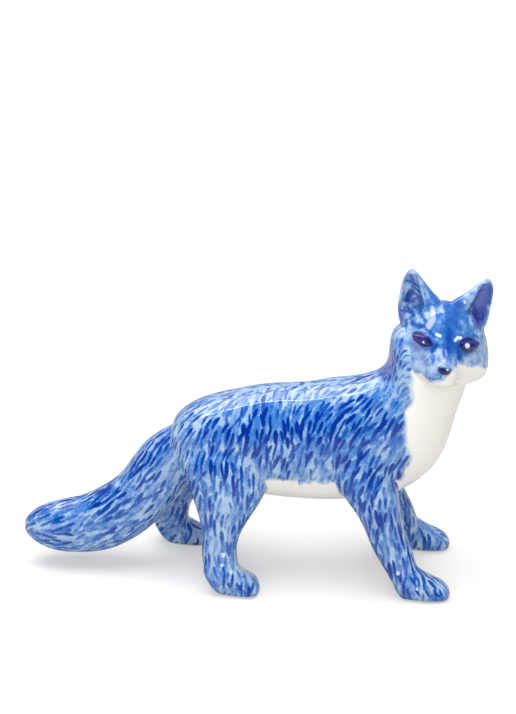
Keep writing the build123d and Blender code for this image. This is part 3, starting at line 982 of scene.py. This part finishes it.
class Nodes:
    """Short ways to add and wire shader nodes."""

    def __init__(self, material):
        material.use_nodes = True
        self.tree = material.node_tree
        self.tree.nodes.clear()

    def add(self, kind, **values):
        node = self.tree.nodes.new(kind)
        for key, value in values.items():
            setattr(node, key, value)
        return node

    def wire(self, value, socket):
        if isinstance(value, bpy.types.NodeSocket):
            self.tree.links.new(value, socket)
        else:
            socket.default_value = value

    def attribute(self, name):
        node = self.add("ShaderNodeAttribute", attribute_type="GEOMETRY", attribute_name=name)
        return node.outputs["Fac"]

    def math(self, operation, a, b=0.0, c=0.0):
        node = self.add("ShaderNodeMath", operation=operation)
        for value, socket in zip((a, b, c), node.inputs):
            self.wire(value, socket)
        return node.outputs[0]

    def noise(self, place, scale, detail=2.0, roughness=0.5):
        node = self.add("ShaderNodeTexNoise")
        self.wire(place, node.inputs["Vector"])
        node.inputs["Scale"].default_value = scale
        node.inputs["Detail"].default_value = detail
        node.inputs["Roughness"].default_value = roughness
        return node.outputs["Fac"]

    def step(self, value, low_end, high_end, low_out=0.0, high_out=1.0):
        node = self.add("ShaderNodeMapRange", interpolation_type="SMOOTHSTEP")
        for v, socket in zip((value, low_end, high_end, low_out, high_out), node.inputs):
            self.wire(v, socket)
        return node.outputs[0]

    def roughen(self, value, grain, amount):
        """The value moved up and down by a noise whose middle is a half."""
        return self.math("ADD", value, self.math("MULTIPLY", self.math("SUBTRACT", grain, 0.5), amount))

    def mix(self, share, a, b):
        node = self.add("ShaderNodeMix", data_type="RGBA", blend_type="MIX")
        self.wire(share, node.inputs[0])
        self.wire(a, node.inputs[6])
        self.wire(b, node.inputs[7])
        return node.outputs[2]

    def mix_pair(self, share, pair):
        return self.mix(share, linear(*pair[0]), linear(*pair[1]))


def porcelain():
    material = bpy.data.materials.new("painted_porcelain")
    n = Nodes(material)
    place = n.add("ShaderNodeTexCoord").outputs["Object"]
    fine = n.noise(place, 1500, 3)
    middle = n.noise(place, 420, 3, 0.6)
    broad = n.noise(place, 150, 2)
    grain = n.math("ADD", n.math("MULTIPLY", middle, 0.5), n.math("MULTIPLY", fine, 0.5))
    purple = n.attribute("purple")
    deep = n.attribute("deep")

    # Pale wash that pools into mid blue, with a fine grain
    middle_blue = n.mix_pair(n.step(purple, 0.1, 0.7, 0.0, 0.75), MIDDLE_BLUES)
    pale = n.mix_pair(n.step(broad, 0.4, 0.65, 0.0, 0.6), PALE_BLUES)
    pooled = n.roughen(n.attribute("wash"), grain, 1.5)
    colour = n.mix(n.step(pooled, 0.05, 0.95), pale, middle_blue)

    # Cobalt strokes: a paler edge where the brush ran dry round a deep core
    ragged = n.roughen(n.attribute("ink"), fine, 0.5)
    share = n.roughen(n.attribute("strength"), middle, 0.6)
    edge_blue = n.mix_pair(n.step(purple, 0.1, 0.7, 0.0, 0.7), EDGE_BLUES)
    core_blue = n.mix_pair(n.step(purple, 0.1, 0.7, 0.0, 0.7), CORE_BLUES)
    halo = n.math("MULTIPLY", n.step(ragged, -0.35, 0.1), n.step(share, 0.0, 0.5, 0.3, 1.0))
    colour = n.mix(halo, colour, edge_blue)
    core = n.math("MULTIPLY", n.step(ragged, -0.08, 0.25), n.step(share, 0.2, 0.7))
    colour = n.mix(core, colour, core_blue)

    # Cobalt marks on the head
    navy = n.roughen(n.attribute("navy"), middle, 0.5)
    colour = n.mix(n.step(navy, 0.05, 0.8, 0.0, 0.9), colour, core_blue)

    # Bare white with a feathered edge
    feather = n.roughen(n.attribute("bare"), grain, 0.9)
    colour = n.mix(n.step(feather, 0.12, 0.88), colour, linear(*BARE_WHITE))

    # Eyes and nose: a navy rim round a violet or blue middle, with the painted highlights of the head
    # and near legs over them
    iris = n.mix_pair(n.step(purple, 0.2, 0.8), IRIS_BLUES)
    iris = n.mix(n.step(deep, 0.35, 1.1), linear(*NAVY_RIM), iris)
    iris = n.mix(n.step(n.math("ADD", deep, fine), 2.2, 2.7), iris, linear(*PUPIL))
    colour = n.mix(n.step(deep, -0.5, 0.0), colour, iris)
    colour = n.mix(n.step(n.attribute("glint"), 0.1, 0.9), colour, linear(*PAINTED_HIGHLIGHT_WHITE))

    shader = n.add("ShaderNodeBsdfPrincipled")
    n.wire(colour, shader.inputs["Base Color"])
    for name, value in GLAZE.items():
        shader.inputs[name].default_value = value
    n.wire(shader.outputs[0], n.add("ShaderNodeOutputMaterial").inputs["Surface"])
    return material


# One closed piece for each casting

glaze = porcelain()
LAYERS = {"ink": ink, "strength": strength, "bare": bare, "deep": deep,
          "wash": wash, "purple": purple, "glint": glint, "navy": navy}
# The middle of a cap lies this far under the skin's edge
CAP_DEPTH = 0.4


def boundary_loops(quads):
    """Closed loops of corners round the open edges of a patch, following its faces."""
    edges = np.concatenate([quads[:, [0, 1]], quads[:, [1, 2]], quads[:, [2, 3]], quads[:, [3, 0]]])
    size = int(quads.max()) + 2
    alone = ~np.isin(pair_keys(edges, size), pair_keys(edges[:, ::-1], size))
    following = {}
    for a, b in edges[alone]:
        following.setdefault(int(a), []).append(int(b))
    loops = []
    while following:
        start = next(iter(following))
        loop, here = [], start
        while here in following:
            loop.append(here)
            nexts = following[here]
            there = nexts.pop()
            if not nexts:
                del following[here]
            here = there
            if here == start:
                break
        loops.append(loop)
    return loops


def caps(quads, points, normals):
    """Middles and triangles of the fans that close the open edges of a patch."""
    middles, fans = [], []
    for loop in boundary_loops(quads):
        if len(loop) < 3:
            continue
        middle = len(points) + len(middles)
        middles.append(points[loop].mean(axis=0) - CAP_DEPTH * normals[loop].mean(axis=0))
        fans += [(loop[i], middle, loop[i - 1]) for i in range(len(loop))]
    return np.array(middles).reshape(-1, 3), np.array(fans, np.int32).reshape(-1, 3)


def fill(mesh, corners, quads, triangles):
    """Writes the corners and faces of a new mesh, all of them smooth."""
    corner_of = np.concatenate([quads.ravel(), triangles.ravel()]).astype(np.int32)
    totals = np.concatenate([np.full(len(quads), 4), np.full(len(triangles), 3)]).astype(np.int32)
    starts = np.concatenate([[0], np.cumsum(totals)[:-1]]).astype(np.int32)
    mesh.vertices.add(len(corners))
    mesh.vertices.foreach_set("co", corners.astype(np.float32).ravel())
    mesh.loops.add(len(corner_of))
    mesh.loops.foreach_set("vertex_index", corner_of)
    mesh.polygons.add(len(totals))
    mesh.polygons.foreach_set("loop_start", starts)
    mesh.update(calc_edges=True)
    mesh.polygons.foreach_set("use_smooth", np.ones(len(totals), bool))


def make_piece(index, name):
    """The glazed skin over one casting, with a cap where it meets its neighbours."""
    used, local = np.unique(quads[face_owner == index], return_inverse=True)
    local = local.reshape(-1, 4)
    points, normals = skin[used], outward[used]
    middles, fans = caps(local, points, normals)
    mesh = bpy.data.meshes.new(name + "_skin")
    fill(mesh, np.concatenate([points, middles]) * MM, local, fans)
    for key, values in LAYERS.items():
        on_mesh = np.concatenate([values[used], np.zeros(len(middles))])
        attribute = mesh.attributes.new(key, "FLOAT", "POINT")
        attribute.data.foreach_set("value", on_mesh.astype(np.float32))
    upwards = np.tile(np.array([[0.0, 0.0, 1.0]]), (len(middles), 1))
    mesh.normals_split_custom_set_from_vertices(np.concatenate([normals, upwards]).astype(np.float32))
    mesh.materials.append(glaze)
    piece = bpy.data.objects.new(name + "_glazed", mesh)
    bpy.context.scene.collection.objects.link(piece)
    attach(piece, "root")
    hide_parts(name)
    return piece


for index, name in enumerate(NODES):
    piece = make_piece(index, name)
    print("scene:", piece.name, len(piece.data.vertices), len(piece.data.polygons))
clock("pieces")


# Floor, lights and camera, in metres

FLOOR_SIZE, FLOOR_DROP = 12, 0.0002
FLOOR_COLOUR = (0.6, 0.592, 0.572, 1)
# The camera sees the floor glow this much by the figure, rising to white between these distances
FLOOR_GLOW, GLOW_FROM, GLOW_TO = 0.34, 0.25, 1.1
# The floor as the glaze reflects it
FLOOR_GLOSS = 0.1
WORLD_LEVEL = 0.6
TARGET = Vector((0.00209 + ZERO * MM, 0.0, 0.0909))
DISTANCE = 0.7
TURN = math.radians(3)
RISE = math.radians(22)
SENSOR = 36
FOCAL_PIXELS, FRAME_PIXELS = 1820, 714
CLIP_START, CLIP_END = 0.05, 50


def floor_white():
    """Pale floor that takes the figure's shadow and runs out to white for the camera."""
    material = bpy.data.materials.new("floor_white")
    n = Nodes(material)
    diffuse = n.add("ShaderNodeBsdfDiffuse")
    diffuse.inputs["Color"].default_value = FLOOR_COLOUR
    rays = n.add("ShaderNodeLightPath").outputs
    away = n.add("ShaderNodeVectorMath", operation="LENGTH")
    n.wire(n.add("ShaderNodeTexCoord").outputs["Object"], away.inputs[0])
    seen = n.step(away.outputs["Value"], GLOW_FROM, GLOW_TO, FLOOR_GLOW, 1.0)
    glossy = n.math("MULTIPLY", rays["Is Glossy Ray"], FLOOR_GLOSS)
    glow = n.add("ShaderNodeEmission")
    n.wire(n.math("MULTIPLY_ADD", rays["Is Camera Ray"], seen, glossy), glow.inputs["Strength"])
    both = n.add("ShaderNodeAddShader")
    n.wire(diffuse.outputs[0], both.inputs[0])
    n.wire(glow.outputs[0], both.inputs[1])
    n.wire(both.outputs[0], n.add("ShaderNodeOutputMaterial").inputs["Surface"])
    return material


def make_floor():
    bpy.ops.mesh.primitive_plane_add(size=FLOOR_SIZE, location=(0, 0, -FLOOR_DROP))
    floor = bpy.context.object
    floor.name = "floor"
    floor.data.materials.append(floor_white())


def make_world():
    """White for the camera; in the glaze, pale behind the figure and dark behind the camera."""
    world = bpy.data.worlds.new("studio")
    bpy.context.scene.world = world
    n = Nodes(world)
    rays = n.add("ShaderNodeLightPath").outputs
    towards = n.add("ShaderNodeSeparateXYZ")
    n.wire(n.add("ShaderNodeTexCoord").outputs["Generated"], towards.inputs[0])
    behind = n.step(towards.outputs["Y"], -0.35, 0.75, 0.08, 0.6)
    horizon = n.step(towards.outputs["Z"], 0.0, 0.35, 0.42, 0.0)
    over_plain = n.math("SUBTRACT", n.math("MAXIMUM", behind, horizon), WORLD_LEVEL)
    level = n.math("MULTIPLY_ADD", rays["Is Glossy Ray"], over_plain, WORLD_LEVEL)
    level = n.math("MAXIMUM", level, rays["Is Camera Ray"])
    background = n.add("ShaderNodeBackground")
    n.wire(level, background.inputs["Strength"])
    n.wire(background.outputs[0], n.add("ShaderNodeOutputWorld").inputs["Surface"])


def softbox(name, place, towards, width, height, energy):
    lamp = bpy.data.lights.new(name, "AREA")
    lamp.shape = "RECTANGLE"
    lamp.size = width
    lamp.size_y = height
    lamp.energy = energy
    holder = bpy.data.objects.new(name, lamp)
    bpy.context.scene.collection.objects.link(holder)
    holder.location = place
    holder.rotation_mode = "QUATERNION"
    holder.rotation_quaternion = (Vector(towards) - Vector(place)).to_track_quat("-Z", "Y")
    return holder


def make_lamps():
    """Two lamps light the figure, and a panel with a thin strip beside it shines in the glaze."""
    overhead = softbox("overhead", (-0.10, -0.04, 0.95), (0.0, 0.0, 0.05), 0.8, 0.8, 9.0)
    fill_in = softbox("fill", (0.1, -1.2, 0.6), (0.0, 0.0, 0.06), 0.9, 0.9, 7.8)
    for lamp in (overhead, fill_in):
        lamp.visible_glossy = False
    ceiling = softbox("ceiling", (-0.35, 0.44, 0.92), (-0.35, 0.0, 0.05), 0.92, 0.80, 7.5)
    ceiling.data.color = (1.0, 0.93, 0.92)
    trim = softbox("trim", (-0.35, 0.06, 1.08), (-0.35, 0.0, 0.05), 0.92, 0.025, 1.7)
    for lamp in (ceiling, trim):
        lamp.visible_diffuse = False


def make_camera():
    data = bpy.data.cameras.new("camera")
    camera = bpy.data.objects.new("camera", data)
    bpy.context.scene.collection.objects.link(camera)
    back = Vector((math.sin(TURN) * math.cos(RISE), -math.cos(TURN) * math.cos(RISE), math.sin(RISE)))
    camera.location = TARGET + DISTANCE * back
    camera.rotation_mode = "QUATERNION"
    camera.rotation_quaternion = (-back).to_track_quat("-Z", "Y")
    data.sensor_width = SENSOR
    data.lens = FOCAL_PIXELS * SENSOR / FRAME_PIXELS
    data.clip_start = CLIP_START
    data.clip_end = CLIP_END
    bpy.context.scene.camera = camera


make_floor()
make_world()
make_lamps()
make_camera()
bpy.context.scene.view_settings.view_transform = "Standard"
clock("stage")
